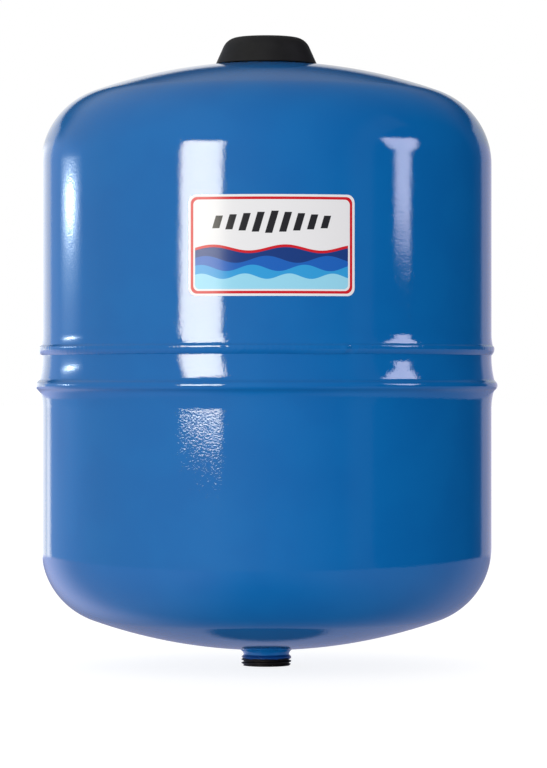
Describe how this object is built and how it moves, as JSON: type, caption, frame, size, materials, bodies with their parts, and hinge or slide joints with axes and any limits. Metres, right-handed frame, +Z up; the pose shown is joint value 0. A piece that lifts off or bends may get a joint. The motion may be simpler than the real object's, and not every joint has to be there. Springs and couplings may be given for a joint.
{
  "type": "expansion tank",
  "caption": "Upright steel expansion tank with domed ends, a welded lap joint, a rolled bead, a threaded water connection below and a capped air valve on top.",
  "frame": {"origin": "centre of the connection nipple's end face, which is the lowest point of the tank", "axes": "+Z up along the tank's axis, -Z out of the water connection, -Y towards the label, +X to the right of someone who faces the label"},
  "size_m": [0.308, 0.308, 0.4186],
  "materials": {
    "blue_enamel": "glossy blue powder coat with fine orange peel",
    "bare_steel": "turned steel, dark oiled thread with blue paint on its upper turns",
    "stainless_steel": "drawn stainless steel",
    "zinc_plated_steel": "bright zinc plating",
    "brass": "turned brass",
    "rubber": "matte black moulded rubber",
    "liner_plastic": "natural white plastic",
    "white_seal": "waxy white plastic",
    "black_plastic": "satin black moulded plastic",
    "label_film": "satin printed film"
  },
  "bodies": {
    "tank": {"upper_shell": "blue_enamel", "lower_shell": "blue_enamel", "girth_weld": "blue_enamel", "nipple_weld": "blue_enamel", "water_liner": "liner_plastic", "diaphragm": "rubber", "clamp_ring": "zinc_plated_steel", "connection_nipple": "bare_steel", "port_o_ring": "rubber", "port_sleeve": "stainless_steel", "valve_body": "brass", "valve_gasket": "rubber", "valve_washer": "zinc_plated_steel", "valve_nut": "zinc_plated_steel", "valve_core_body": "brass", "valve_core_seal": "white_seal", "valve_core_spring": "stainless_steel", "label": "label_film"},
    "cover": {"protective_cap": "black_plastic"},
    "cap_disc": {"valve_cap_seal": "rubber"},
    "dust_cap": {"valve_cap": "black_plastic"},
    "valve_pin": {"valve_core_pin": "brass", "valve_core_poppet": "rubber"}
  },
  "joints": [
    {"name": "cover_lift", "type": "slide", "parent": "tank", "child": "cover", "axis": [0, 0, 1], "range_m": [0, 0.04]},
    {"name": "dust_cap_rise", "type": "slide", "parent": "tank", "child": "cap_disc", "axis": [0, 0, 1], "range_m": [0, 0.00318]},
    {"name": "dust_cap_turn", "type": "hinge", "parent": "cap_disc", "child": "dust_cap", "pos_m": [0, 0, 0.405], "axis": [0, 0, 1], "range_deg": [0, 1440]},
    {"name": "valve_pin_press", "type": "slide", "parent": "tank", "child": "valve_pin", "axis": [0, 0, -1], "range_m": [0, 0.0012], "stiffness_N_per_m": 2000, "springref_m": -0.0002, "deforming": ["valve_core_spring"]}
  ],
  "couplings": [
    {"joint": "dust_cap_turn", "follows": "dust_cap_rise", "rad_per_m": 7913.3}
  ]
}
